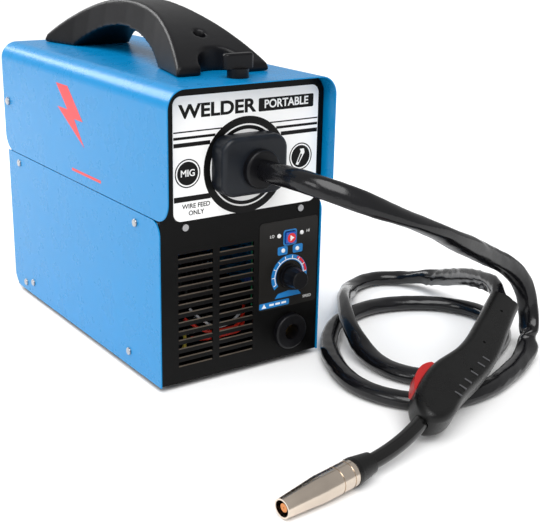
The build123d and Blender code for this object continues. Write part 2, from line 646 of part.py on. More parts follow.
SINK_X, SINK_Y = 62.0, 70.0
with BuildPart() as rectifier_heatsink:
    with BuildSketch(front_plane(SINK_Y - 40)):
        with Locations((SINK_X, CORE_BASE + 4)):
            Rectangle(60, 8)
        for fin in range(8):
            with Locations((SINK_X - 28 + 8 * fin, CORE_BASE + 28)):
                Rectangle(2.5, 44)
    extrude(amount=-80)
save(rectifier_heatsink.part, "rectifier_heatsink")

with BuildPart() as rectifier_diodes:
    with BuildSketch(Plane.XY.offset(CORE_BASE)):
        with Locations((SINK_X - 16, SINK_Y - 58), (SINK_X + 16, SINK_Y - 58)):
            RegularPolygon(9, 6)
    extrude(amount=8)
    with BuildSketch(Plane.XY.offset(CORE_BASE + 8)):
        with Locations((SINK_X - 16, SINK_Y - 58), (SINK_X + 16, SINK_Y - 58)):
            Circle(6)
    extrude(amount=18)
save(rectifier_diodes.part, "rectifier_diodes")

# Fan: square housing against the rear panel, rotor on a pin.
FAN_FACE = REAR_INSIDE - FAN_DEPTH
FAN_BORE = 43.5
FAN_PIN = 2.0
HUB_RADIUS = 17.0
with BuildPart() as fan_housing:
    with BuildSketch(front_plane(FAN_FACE)):
        with Locations((0, FAN_Z)):
            RectangleRounded(FAN_SIZE, FAN_SIZE, 5)
            Circle(FAN_BORE, mode=Mode.SUBTRACT)
            with GridLocations(FAN_SIZE - 10, FAN_SIZE - 10, 2, 2):
                Circle(2.2, mode=Mode.SUBTRACT)
    extrude(amount=-FAN_DEPTH)
    with BuildSketch(front_plane(REAR_INSIDE)):
        with Locations((0, FAN_Z)):
            Circle(HUB_RADIUS)
            Rectangle(FAN_SIZE - 4, 5)
            Rectangle(5, FAN_SIZE - 4)
    extrude(amount=2.5)
    with BuildSketch(front_plane(REAR_INSIDE - 2.5)):
        with Locations((0, FAN_Z)):
            Circle(FAN_PIN)
    extrude(amount=13)
save(fan_housing.part, "fan_housing")

with BuildPart() as fan_rotor:
    with BuildSketch(front_plane(FAN_FACE + 2)):
        with Locations((0, FAN_Z)):
            Circle(HUB_RADIUS)
    extrude(amount=-(FAN_DEPTH - 5.5))
    with BuildSketch(front_plane(FAN_FACE + 3)):
        with Locations((0, FAN_Z)):
            with PolarLocations(0, 7):
                Polygon((HUB_RADIUS - 2, -9), (39, -15), (41, 2), (HUB_RADIUS - 2, 5), align=None)
    extrude(amount=-1.8)
    with BuildSketch(front_plane(FAN_FACE + FAN_DEPTH - 3)):
        with Locations((0, FAN_Z)):
            Circle(FAN_PIN + RUNNING_FIT)
    extrude(amount=14, mode=Mode.SUBTRACT)
save(fan_rotor.part, "fan_rotor")

# Mains switch and the empty cable inlet on the rear panel.
ROCKER_TILT = 8.0
SWITCH_FACE = REAR_FACE + 2.0
with BuildPart() as mains_switch_body:
    with BuildSketch(front_plane(REAR_FACE)):
        with Locations((SWITCH_X, SWITCH_Z)):
            Rectangle(SWITCH_WIDE + 5, SWITCH_TALL + 5)
    extrude(amount=-(SWITCH_FACE - REAR_FACE))
    with BuildSketch(front_plane(REAR_FACE)):
        with Locations((SWITCH_X, SWITCH_Z)):
            Rectangle(SWITCH_WIDE, SWITCH_TALL)
    extrude(amount=22)
    with BuildSketch(front_plane(SWITCH_FACE)):
        with Locations((SWITCH_X, SWITCH_Z)):
            Rectangle(SWITCH_WIDE - 5, SWITCH_TALL - 5)
    extrude(amount=16, mode=Mode.SUBTRACT)
save(mains_switch_body.part, "mains_switch_body")

ROCKER_Y = SWITCH_FACE - 8.0
rocker_plane = Plane(origin=(SWITCH_X - (SWITCH_WIDE - 6) / 2, ROCKER_Y, SWITCH_Z),
                     x_dir=(0, cos(radians(ROCKER_TILT)), sin(radians(ROCKER_TILT))), z_dir=(1, 0, 0))
with BuildPart() as mains_switch_rocker:
    with BuildSketch(rocker_plane):
        with BuildLine():
            Line((-3, 9), (-3, -9))
            Line((-3, -9), (7, -10))
            ThreePointArc((7, -10), (5.5, 0), (7, 10))
            Line((7, 10), (-3, 9))
        make_face()
    extrude(amount=SWITCH_WIDE - 6)
save(mains_switch_rocker.part, "mains_switch_rocker")

with BuildPart() as mains_inlet:
    with BuildSketch(front_plane(REAR_FACE)):
        with Locations((INLET_X, INLET_Z)):
            Circle(INLET_RADIUS + 4)
    extrude(amount=-8)
    fillet(mains_inlet.edges().group_by(Axis.Y)[-1], 2)
    with BuildSketch(front_plane(REAR_FACE)):
        with Locations((INLET_X, INLET_Z)):
            Circle(INLET_RADIUS)
    extrude(amount=14)
    with BuildSketch(front_plane(REAR_FACE + 8)):
        with Locations((INLET_X, INLET_Z)):
            Circle(4.5)
    extrude(amount=22, mode=Mode.SUBTRACT)
save(mains_inlet.part, "mains_inlet")

# Five rubber feet: one at each corner and one in the middle, under the transformer.
FOOT_RADIUS = 10.0
with BuildPart() as rubber_feet:
    with BuildSketch(Plane.XY):
        Circle(FOOT_RADIUS - 1.5)
        with GridLocations(WIDTH - 44, DEPTH - 110, 2, 2):
            Circle(FOOT_RADIUS - 1.5)
    extrude(amount=FOOT_HEIGHT, taper=-8)
save(rubber_feet.part, "rubber_feet")

# ================================================================ WIRE COMPARTMENT
DECK = SHELF_Z + SHEET
WIRE_GAP = 0.4
PRESSURE_RADIUS = ROLLER_RADIUS           # same size as the drive roller, so both turn alike
ROLLER_WIDE = 12.0
ROLLER_Y = FRONT + 85.0
ROLLER_Z = OUTLET_Z - WIRE_GAP - ROLLER_RADIUS
PRESS_Z = OUTLET_Z + WIRE_GAP + PRESSURE_RADIUS
PLATE_X = OUTLET_X - 16.0                   # left face of the feed bracket's plate
PLATE_THICK = 3.0
PLATE_RIGHT = PLATE_X + PLATE_THICK
SHAFT = 4.0
ARM_Y = ROLLER_Y + 32.0
ARM_Z = PRESS_Z + 6.0
ARM_PIN = 3.0
STUD_Y = ROLLER_Y - 26.0
STUD_Z = OUTLET_Z - 12.0


def side_plane(x):
    """Plane facing +X at a given x: sketch x is the frame's Y, sketch y is its Z."""
    return Plane.YZ.offset(x)


with BuildPart() as feed_bracket:
    with BuildSketch(side_plane(PLATE_X)):
        with Locations((ROLLER_Y + 2, DECK + 42)):
            Rectangle(90, 84)
        with Locations((ROLLER_Y, ROLLER_Z)):
            Circle(SHAFT + 1, mode=Mode.SUBTRACT)
    extrude(amount=PLATE_THICK)
    with BuildSketch(Plane.XY.offset(DECK)):
        with Locations((PLATE_X - 8, ROLLER_Y + 2)):
            Rectangle(16, 90)
    extrude(amount=3)
    with BuildSketch(side_plane(PLATE_RIGHT)):
        with Locations((ARM_Y, ARM_Z), (STUD_Y, STUD_Z)):
            Circle(ARM_PIN)
    extrude(amount=9)
save(feed_bracket.part, "feed_bracket")

with BuildPart() as feed_motor:
    with BuildSketch(side_plane(PLATE_X)):
        with Locations((ROLLER_Y, ROLLER_Z)):
            Circle(24)
    extrude(amount=-62)
    fillet(feed_motor.edges().filter_by(GeomType.CIRCLE).sort_by(Axis.X)[0], 3)
    with BuildSketch(side_plane(PLATE_X)):
        with Locations((ROLLER_Y, ROLLER_Z)):
            Circle(SHAFT)
    extrude(amount=PLATE_THICK + ROLLER_WIDE + 10)
save(feed_motor.part, "feed_motor")

ROLLER_X = OUTLET_X - ROLLER_WIDE / 2
with BuildPart() as drive_roller:
    with BuildSketch(side_plane(ROLLER_X)):
        with Locations((ROLLER_Y, ROLLER_Z)):
            Circle(ROLLER_RADIUS)
            Circle(SHAFT + RUNNING_FIT, mode=Mode.SUBTRACT)
    extrude(amount=ROLLER_WIDE)
    chamfer(drive_roller.edges().filter_by(GeomType.CIRCLE).filter_by(
        lambda edge: edge.radius > ROLLER_RADIUS - 1), 1)
save(drive_roller.part, "drive_roller")

# Pressure arm: swings up about its pin once the tensioner is let go.
ARM_X = PLATE_RIGHT + 1.0
ARM_THICK = ROLLER_X - 1.0 - ARM_X
ARM_TIP = STUD_Y - 6.0
with BuildPart() as pressure_arm:
    with BuildSketch(side_plane(ARM_X)):
        with BuildLine():
            Polyline((ARM_Y + 8, ARM_Z - 8), (ARM_Y + 8, ARM_Z + 8), (ARM_TIP, ARM_Z + 8),
                     (ARM_TIP, ARM_Z), (ROLLER_Y - 10, PRESS_Z - 7), (ROLLER_Y + 10, PRESS_Z - 7),
                     (ARM_Y + 8, ARM_Z - 8))
        make_face()
        with Locations((ARM_Y, ARM_Z)):
            Circle(ARM_PIN + RUNNING_FIT, mode=Mode.SUBTRACT)
    extrude(amount=ARM_THICK)
    with BuildSketch(side_plane(ARM_X + ARM_THICK)):
        with Locations((ROLLER_Y, PRESS_Z)):
            Circle(ARM_PIN)
    extrude(amount=ROLLER_WIDE + 3)
    with BuildSketch(Plane.XY.offset(ARM_Z + 4)):
        with Locations((OUTLET_X + 1, ARM_TIP + 7)):
            Rectangle(18, 14)
            with Locations((0, -3)):
                Rectangle(7, 14, mode=Mode.SUBTRACT)
    extrude(amount=4)
save(pressure_arm.part, "pressure_arm")

with BuildPart() as pressure_roller:
    with BuildSketch(side_plane(ROLLER_X)):
        with Locations((ROLLER_Y, PRESS_Z)):
            Circle(PRESSURE_RADIUS)
            Circle(ARM_PIN + RUNNING_FIT, mode=Mode.SUBTRACT)
    extrude(amount=ROLLER_WIDE)
save(pressure_roller.part, "pressure_roller")

# Tensioner: stud, spring and knob tip forward out of the arm's fork.
STUD_X = OUTLET_X + 1.0
FORK_TOP = ARM_Z + 8.0
with BuildPart() as tension_stud:
    with BuildSketch(side_plane(PLATE_RIGHT + 9.5)):
        with Locations((STUD_Y, STUD_Z)):
            Circle(5)
    extrude(amount=8)
    with BuildSketch(Plane.XY.offset(STUD_Z + 4)):
        with Locations((STUD_X, STUD_Y)):
            Circle(2)
    extrude(amount=FORK_TOP + 20 - STUD_Z)
save(tension_stud.part, "tension_stud")

SPRING_WIRE = 0.7
with BuildPart() as tension_spring:
    with BuildLine() as coils:
        Helix(pitch=2.4, height=12, radius=3.6, center=(STUD_X, STUD_Y, FORK_TOP + 0.3 + SPRING_WIRE))
    with BuildSketch(coils.line ^ 0):
        Circle(SPRING_WIRE)
    sweep()
save(tension_spring.part, "tension_spring")

with BuildPart() as tension_knob:
    with BuildSketch(Plane.XY.offset(FORK_TOP + 0.3 + 2 * SPRING_WIRE + 12)):
        with Locations((STUD_X, STUD_Y)):
            RegularPolygon(8, 10)
            Circle(2, mode=Mode.SUBTRACT)
    extrude(amount=14)
save(tension_knob.part, "tension_knob")

with BuildPart() as wire_guide:
    guide_y = ROLLER_Y + 24.0
    with BuildSketch(front_plane(guide_y)):
        with Locations((OUTLET_X, OUTLET_Z)):
            Circle(4)
        with Locations(((PLATE_RIGHT + OUTLET_X) / 2, OUTLET_Z)):
            Rectangle(OUTLET_X - PLATE_RIGHT, 5)
        with Locations((OUTLET_X, OUTLET_Z)):
            Circle(1.2, mode=Mode.SUBTRACT)
    extrude(amount=-14)
save(wire_guide.part, "wire_guide")

SPOOL_Y, SPOOL_Z = 60.0, DECK + 58.0
SPOOL_BORE = 8.0
SPOOL_LEFT = OUTLET_X - SPOOL_WIDTH / 2
with BuildPart() as spool_bracket:
    with BuildSketch(side_plane(SPOOL_LEFT - 9)):
        with BuildLine():
            Polyline((SPOOL_Y - 32, DECK), (SPOOL_Y + 32, DECK), (SPOOL_Y + 14, SPOOL_Z + 14),
                     (SPOOL_Y - 14, SPOOL_Z + 14), (SPOOL_Y - 32, DECK))
        make_face()
    extrude(amount=3)
    with BuildSketch(side_plane(SPOOL_LEFT - 6)):
        with Locations((SPOOL_Y, SPOOL_Z)):
            Circle(13)
    extrude(amount=4)
    with BuildSketch(side_plane(SPOOL_LEFT - 2)):
        with Locations((SPOOL_Y, SPOOL_Z)):
            Circle(SPOOL_BORE)
    extrude(amount=SPOOL_WIDTH + 4)
    with BuildSketch(Plane.XY.offset(DECK)):
        with Locations((SPOOL_LEFT - 17, SPOOL_Y)):
            Rectangle(16, 64)
    extrude(amount=3)
save(spool_bracket.part, "spool_bracket")

with BuildPart() as spool_nut:
    with BuildSketch(side_plane(SPOOL_LEFT + SPOOL_WIDTH + 2)):
        with Locations((SPOOL_Y, SPOOL_Z)):
            RegularPolygon(14, 6)
    extrude(amount=9)
save(spool_nut.part, "spool_nut")

with BuildPart() as wire_spool:
    with BuildSketch(side_plane(SPOOL_LEFT)):
        with Locations((SPOOL_Y, SPOOL_Z)):
            Circle(SPOOL_RADIUS)
    extrude(amount=2.5)
    with BuildSketch(side_plane(SPOOL_LEFT + SPOOL_WIDTH - 2.5)):
        with Locations((SPOOL_Y, SPOOL_Z)):
            Circle(SPOOL_RADIUS)
    extrude(amount=2.5)
    with BuildSketch(side_plane(SPOOL_LEFT)):
        with Locations((SPOOL_Y, SPOOL_Z)):
            Circle(20)
    extrude(amount=SPOOL_WIDTH)
    with BuildSketch(side_plane(SPOOL_LEFT)):
        with Locations((SPOOL_Y, SPOOL_Z)):
            Circle(SPOOL_BORE + RUNNING_FIT)
            with PolarLocations(32, 6):
                Circle(5)
    extrude(amount=SPOOL_WIDTH, mode=Mode.SUBTRACT)
save(wire_spool.part, "wire_spool")

with BuildPart() as wire_coil:
    with BuildSketch(side_plane(SPOOL_LEFT + 2.5)):
        with Locations((SPOOL_Y, SPOOL_Z)):
            Circle(WIRE_COIL_RADIUS)
            Circle(20, mode=Mode.SUBTRACT)
    extrude(amount=SPOOL_WIDTH - 5)
save(wire_coil.part, "wire_coil")

# ================================================================ TORCH
# Sketch x runs from nozzle to lead, sketch y to the trigger side, the normal across the grip.
TORCH = Plane(origin=(63.5, -407.0, 27.6), x_dir=(0.8839, 0.4227, 0.2001), z_dir=(0.0096, -0.4442, 0.8959))
GRIP_HALF_THICK = GRIP_THICKNESS / 2
GRIP_WALL = 2.6
GRIP_ROUND = 8.0
TRIGGER_FRONT, TRIGGER_REAR = 11.0, 58.0
TRIGGER_HALF = 7.5
TRIGGER_INNER = 15.0
TRIGGER_TRAVEL = 2.5
BOSS_RADIUS = 4.0
TORCH_SCREW = 1.5
TORCH_BOSSES = [(70.0, -12.0), (118.0, -8.0), (180.0, -5.0)]


GRIP_CAVITY = [(200, -13), (157, -18.5), (113, -23), (74, -21), (29, -16), (0, -13.5), (-12, -4),
               (-5, 8), (24, 17), (55, 16), (87, 8.5), (107, 5.5), (141, 6), (170, 7.5), (200, 10)]


def grip_outline():
    """Side outline of the torch handle, open at its flat rear end."""
    with BuildSketch() as outline:
        with BuildLine():
            back = Spline((GRIP_LENGTH, -18.5), (157, -24), (113, -28.5), (74, -26.5),
                          (29, -21.5), (-6, -18.5), (-19, -5), (-8, 13), (24, 22.5), (55, 21.5),
                          (87, 13.5), (107, 10.5), (141, 11), (170, 12.5), (GRIP_LENGTH, 15.5))
            Line(back @ 1, back @ 0)
        make_face()
    return outline.sketch


def make_grip_half(side):
    """One half of the torch handle: side +1 is the upper half, -1 the lower."""
    with BuildPart() as half:
        with BuildSketch(TORCH):
            add(grip_outline())
        extrude(amount=side * GRIP_HALF_THICK)
        far = half.faces().sort_by(Axis(TORCH.origin, TORCH.z_dir))[-1 if side > 0 else 0]
        fillet(far.edges().filter_by(GeomType.BSPLINE), GRIP_ROUND)
        with BuildSketch(TORCH):
            Polygon(*GRIP_CAVITY, align=None)
        extrude(amount=side * (GRIP_HALF_THICK - GRIP_WALL), mode=Mode.SUBTRACT)
        with BuildSketch(TORCH):
            with Locations(*TORCH_BOSSES):
                Circle(BOSS_RADIUS)
        extrude(amount=side * (GRIP_HALF_THICK - GRIP_WALL + 0.5))
        with BuildSketch(TORCH):
            with Locations(((TRIGGER_FRONT + TRIGGER_REAR) / 2, 24)):
                Rectangle(TRIGGER_REAR - TRIGGER_FRONT + 3, 27)
        extrude(amount=side * (TRIGGER_HALF + 0.5), mode=Mode.SUBTRACT)
        with BuildSketch(TORCH):
            with Locations(*TORCH_BOSSES):
                Circle(TORCH_SCREW)
        extrude(amount=side * (GRIP_HALF_THICK + 1), mode=Mode.SUBTRACT)
        with BuildSketch(Plane(origin=TORCH.origin - TORCH.x_dir * 30, x_dir=TORCH.y_dir, z_dir=TORCH.x_dir)):
            Circle(NECK_RADIUS)
        extrude(amount=60, mode=Mode.SUBTRACT)
        with BuildSketch(Plane(origin=TORCH.origin + TORCH.x_dir * GRIP_LENGTH - TORCH.y_dir * 1.5,
                               x_dir=TORCH.y_dir, z_dir=TORCH.x_dir)):
            Circle(12)
        extrude(amount=-8, mode=Mode.SUBTRACT)
    return half.part


save(make_grip_half(1), "torch_grip_upper")
save(make_grip_half(-1), "torch_grip_lower")
TRIGGER_OUT = 30.0
with BuildPart() as torch_trigger:
    with BuildSketch(TORCH.offset(-TRIGGER_HALF)):
        with BuildLine():
            Line((TRIGGER_FRONT, TRIGGER_INNER), (TRIGGER_FRONT, 23))
            Spline((TRIGGER_FRONT, 23), (22, 27.5), (45, TRIGGER_OUT), (TRIGGER_REAR, 24))
            Line((TRIGGER_REAR, 24), (TRIGGER_REAR, TRIGGER_INNER))
            Line((TRIGGER_REAR, TRIGGER_INNER), (TRIGGER_FRONT, TRIGGER_INNER))
        make_face()
    extrude(amount=2 * TRIGGER_HALF)
save(torch_trigger.part, "torch_trigger")

with BuildPart() as torch_screws:
    with BuildSketch(TORCH.offset(3 - GRIP_HALF_THICK)):
        with Locations(*TORCH_BOSSES):
            Circle(TORCH_SCREW)
    extrude(amount=2 * GRIP_HALF_THICK - 6)
save(torch_screws.part, "torch_screws")

bend = radians(NECK_BEND_ANGLE)
NECK_END = (-NECK_BEND_RADIUS * sin(bend), NECK_BEND_RADIUS * (1 - cos(bend)))
NECK_MIDDLE = (-NECK_BEND_RADIUS * sin(bend / 2), NECK_BEND_RADIUS * (1 - cos(bend / 2)))
NECK_START = 28.0
with BuildPart() as torch_neck:
    with BuildLine(TORCH) as neck_line:
        Line((NECK_START, 0), (0, 0))
        ThreePointArc((0, 0), NECK_MIDDLE, NECK_END)
    with BuildSketch(neck_line.line ^ 0):
        Circle(NECK_RADIUS)
    sweep()
save(torch_neck.part, "torch_neck")

# Nozzle end: its plane stands at the neck's end and faces away from the handle.
nozzle_axis = TORCH.y_dir * sin(bend) - TORCH.x_dir * cos(bend)
nozzle_origin = TORCH.origin + TORCH.x_dir * NECK_END[0] + TORCH.y_dir * NECK_END[1]
NOZZLE = Plane(origin=nozzle_origin, x_dir=TORCH.z_dir, z_dir=nozzle_axis)
COLLAR_START = 1.5
COLLAR_END = 24.0
NOZZLE_STRAIGHT = 38.0
NOZZLE_WALL = 2.0
with BuildPart() as torch_insulator:
    with BuildSketch(NOZZLE):
        Circle(10)
    with BuildSketch(NOZZLE.offset(COLLAR_END - 4)):
        Circle(13)
    loft()
    with BuildSketch(NOZZLE.offset(COLLAR_END - 4)):
        Circle(13)
    extrude(amount=4)
    with BuildSketch(NOZZLE.offset(COLLAR_END)):
        Circle(NOZZLE_RADIUS - NOZZLE_WALL)
    extrude(amount=8)
    with BuildSketch(NOZZLE.offset(-1)):
        Circle(6)
    extrude(amount=COLLAR_END + 12, mode=Mode.SUBTRACT)
save(torch_insulator.part, "torch_insulator")

with BuildPart() as torch_contact_tip:
    with BuildSketch(NOZZLE):
        Circle(6)
    extrude(amount=COLLAR_END + 30)
    with BuildSketch(NOZZLE.offset(COLLAR_END + 30)):
        Circle(4)
    extrude(amount=NOZZLE_LENGTH - 32)
    with BuildSketch(NOZZLE):
        Circle(0.6)
    extrude(amount=2 * NOZZLE_LENGTH, mode=Mode.SUBTRACT)
save(torch_contact_tip.part, "torch_contact_tip")

with BuildPart() as torch_nozzle:
    with BuildSketch(NOZZLE.offset(COLLAR_END)):
        Circle(NOZZLE_RADIUS)
    extrude(amount=NOZZLE_STRAIGHT)
    with BuildSketch(NOZZLE.offset(COLLAR_END + NOZZLE_STRAIGHT)):
        Circle(NOZZLE_RADIUS)
    with BuildSketch(NOZZLE.offset(COLLAR_END + NOZZLE_LENGTH)):
        Circle(NOZZLE_TIP_RADIUS)
    loft()
    for groove in (5, 18):
        with BuildSketch(NOZZLE.offset(COLLAR_END + groove)):
            Circle(NOZZLE_RADIUS)
            Circle(NOZZLE_RADIUS - 0.6, mode=Mode.SUBTRACT)
        extrude(amount=1.4, mode=Mode.SUBTRACT)
    with BuildSketch(NOZZLE.offset(COLLAR_END)):
        Circle(NOZZLE_RADIUS - NOZZLE_WALL)
    extrude(amount=NOZZLE_STRAIGHT, mode=Mode.SUBTRACT)
    with BuildSketch(NOZZLE.offset(COLLAR_END + NOZZLE_STRAIGHT)):
        Circle(NOZZLE_RADIUS - NOZZLE_WALL)
    with BuildSketch(NOZZLE.offset(COLLAR_END + NOZZLE_LENGTH)):
        Circle(NOZZLE_TIP_RADIUS - 1.5)
    loft(mode=Mode.SUBTRACT)
save(torch_nozzle.part, "torch_nozzle")

BOOT_BACK = 6.0
boot_centre = TORCH.origin + TORCH.x_dir * GRIP_LENGTH - TORCH.y_dir * 1.5
BOOT = Plane(origin=boot_centre, x_dir=TORCH.y_dir, z_dir=TORCH.x_dir)
with BuildPart() as torch_boot:
    with BuildSketch(BOOT.offset(-8)):
        Circle(12)
    extrude(amount=8)
    with BuildSketch(BOOT):
        Circle(14.5)
    extrude(amount=BOOT_BACK)
    fillet(torch_boot.edges().sort_by(Axis(BOOT.origin, BOOT.z_dir))[-1], 2)
save(torch_boot.part, "torch_boot")

# ================================================================ TORCH LEAD
LEAD_FRONT = COLLAR_FACE + 2.0
LEAD_POINTS = [
    (OUTLET_X, LEAD_FRONT, OUTLET_Z), (OUTLET_X, -250, 230), (14, -292, 228), (52, -320, 212),
    (112, -328, 186), (176, -322, 155), (240, -304, 124), (286, -298, 101), (313, -298, 69),
    (313, -308, 32), (290, -327, 9), (243, -352, 9), (168, -378, 9), (100, -364, 9),
    (67, -306, 9), (84, -238, 9), (124, -176, 9), (180, -131, 9), (250, -122, 9),
    (316, -156, 9), (342, -214, 9), (314, -272, 9), (256, -308, 9), (200, -332, 9),
    (152, -326, 9), (126, -292, 9), (126, -242, 12), (137, -194, 33), (182, -130, 33),
    (222, -88, 16), (254, -54, 9), (300, -40, 9), (338, -62, 10), (348, -110, 22),
    (332, -158, 40), (310, -212, 60), (290, -256, 72), (272, -292, 79), (250.4, -316.6, 70.4),
]
lead_corners = [Vector(*point) for point in LEAD_POINTS]
lead_runs = [(end - start).length for start, end in zip(lead_corners, lead_corners[1:])]
lead_radii = []
for before, corner, after, run_in, run_out in zip(
        lead_corners, lead_corners[1:], lead_corners[2:], lead_runs, lead_runs[1:]):
    turn = (corner - before).get_angle(after - corner)
    lead_radii.append(0.45 * min(run_in, run_out) / tan(radians(turn / 2)))
with BuildPart() as torch_lead:
    with BuildLine() as lead_line:
        FilletPolyline(*lead_corners, radius=lead_radii)
    with BuildSketch(lead_line.line ^ 0):
        Circle(LEAD_RADIUS)
    sweep()
save(torch_lead.part, "torch_lead")
print("torch_lead radii, mm:", [round(value) for value in lead_radii])
print("torch_lead length, mm:", round(lead_line.wires()[0].length))
print("torch_lead valid:", torch_lead.part.is_valid, "volume over section times length:",
      round(torch_lead.part.volume / (3.141592653589793 * LEAD_RADIUS ** 2 * lead_line.wires()[0].length), 4))
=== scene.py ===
from math import cos, pi, radians, sin

import bpy
from mathutils import Matrix, Vector, noise


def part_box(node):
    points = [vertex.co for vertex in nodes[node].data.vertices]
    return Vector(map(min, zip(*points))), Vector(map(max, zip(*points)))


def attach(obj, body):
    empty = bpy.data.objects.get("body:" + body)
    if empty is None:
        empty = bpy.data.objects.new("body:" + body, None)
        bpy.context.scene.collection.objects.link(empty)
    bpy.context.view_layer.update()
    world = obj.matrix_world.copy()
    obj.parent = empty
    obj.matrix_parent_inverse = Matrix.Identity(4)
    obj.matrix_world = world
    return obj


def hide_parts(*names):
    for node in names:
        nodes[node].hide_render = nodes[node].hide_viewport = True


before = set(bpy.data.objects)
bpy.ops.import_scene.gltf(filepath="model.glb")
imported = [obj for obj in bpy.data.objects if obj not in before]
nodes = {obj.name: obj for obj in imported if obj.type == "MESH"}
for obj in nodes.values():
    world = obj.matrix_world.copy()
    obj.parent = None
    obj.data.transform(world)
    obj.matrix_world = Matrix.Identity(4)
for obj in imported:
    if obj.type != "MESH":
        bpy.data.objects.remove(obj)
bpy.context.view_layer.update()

# ---- Viewpoint, studio light and floor --------------------------------------------
# A long lens from the front left, a little above the carrying handle. A high soft sun
# lights a white floor; a panel behind draws the bright line along the hood's bends.
azimuth, elevation, roll = radians(-35.17), radians(18.38), radians(1.18)
back = Vector((sin(azimuth) * cos(elevation), -cos(azimuth) * cos(elevation), sin(elevation)))
right = (-back).cross(Vector((0, 0, 1))).normalized()
up = right.cross(-back)
turned_right = right * cos(roll) + up * sin(roll)
turned_up = up * cos(roll) - right * sin(roll)
camera = bpy.data.objects.new("viewpoint", bpy.data.cameras.new("viewpoint"))
camera.data.lens = 70.03
camera.data.sensor_width = 36.0
camera.data.clip_start = 0.05
camera.matrix_world = Matrix.Translation((-0.5755, -1.0508, 0.4710)) @ Matrix(
    (turned_right, turned_up, back)).transposed().to_4x4()
bpy.context.collection.objects.link(camera)
bpy.context.scene.camera = camera
bpy.context.scene.view_settings.view_transform = "Standard"

bpy.ops.mesh.primitive_plane_add(size=60, location=(0, 0, -0.0005))
floor = bpy.context.object
floor.name = "floor"
floor_paint = bpy.data.materials.new("pale_floor")
floor_paint.use_nodes = True
floor_shader = floor_paint.node_tree.nodes["Principled BSDF"]
floor_shader.inputs["Base Color"].default_value = (0.97, 0.97, 0.97, 1)
floor_shader.inputs["Roughness"].default_value = 0.8
floor.data.materials.append(floor_paint)

sky = bpy.data.worlds.new("studio")
sky.use_nodes = True
sky.node_tree.nodes["Background"].inputs["Color"].default_value = (1, 1, 1, 1)
sky.node_tree.nodes["Background"].inputs["Strength"].default_value = 0.5
bpy.context.scene.world = sky
sun = bpy.data.objects.new("high_sun", bpy.data.lights.new("high_sun", "SUN"))
sun.data.energy = 2.7
sun.data.angle = radians(48)
sun.rotation_euler = Vector((0.30, 0.47, -0.83)).to_track_quat("-Z", "Y").to_euler()
bpy.context.collection.objects.link(sun)
for lamp_name, place, size, watts in (
        ("rear_panel_light", (-0.75, 1.7, 1.45), 1.1, 26),
        ("left_panel", (-1.9, -0.6, 1.1), 0.7, 6)):
    lamp = bpy.data.objects.new(lamp_name, bpy.data.lights.new(lamp_name, "AREA"))
    lamp.data.size = size
    lamp.data.energy = watts
    lamp.location = place
    lamp.rotation_euler = (Vector((0.05, -0.1, 0.12)) - Vector(place)).to_track_quat("-Z", "Y").to_euler()
    bpy.context.collection.objects.link(lamp)


# ---- Torch lead ---------------------------------------------------------------------
# A loose glossy black sheath over the wire liner, power and switch cores. It leaves the
# outlet, comes down to the floor, makes two loops there and runs up into the torch.
LEAD_POINTS = [
    (0.004, -0.2136, 0.229), (0.004, -0.25, 0.23), (0.014, -0.292, 0.228), (0.052, -0.32, 0.212),
    (0.112, -0.328, 0.186), (0.176, -0.322, 0.155), (0.24, -0.304, 0.124), (0.286, -0.298, 0.101),
    (0.313, -0.298, 0.069), (0.313, -0.308, 0.032), (0.29, -0.327, 0.009), (0.243, -0.352, 0.009),
    (0.168, -0.378, 0.009), (0.1, -0.364, 0.009), (0.067, -0.306, 0.009), (0.084, -0.238, 0.009),
    (0.124, -0.176, 0.009), (0.18, -0.131, 0.009), (0.25, -0.122, 0.009), (0.316, -0.156, 0.009),
    (0.342, -0.214, 0.009), (0.314, -0.272, 0.009), (0.256, -0.308, 0.009), (0.2, -0.332, 0.009),
    (0.152, -0.326, 0.009), (0.126, -0.292, 0.009), (0.126, -0.242, 0.012), (0.137, -0.194, 0.033),
    (0.182, -0.13, 0.033), (0.222, -0.088, 0.016), (0.254, -0.054, 0.009), (0.3, -0.04, 0.009),
    (0.338, -0.062, 0.01), (0.348, -0.11, 0.022), (0.332, -0.158, 0.04), (0.31, -0.212, 0.06),
    (0.29, -0.256, 0.072), (0.272, -0.292, 0.079), (0.2504, -0.3166, 0.0704)]
SHEATH_WIDE, SHEATH_FLAT = 0.0108, 0.0086


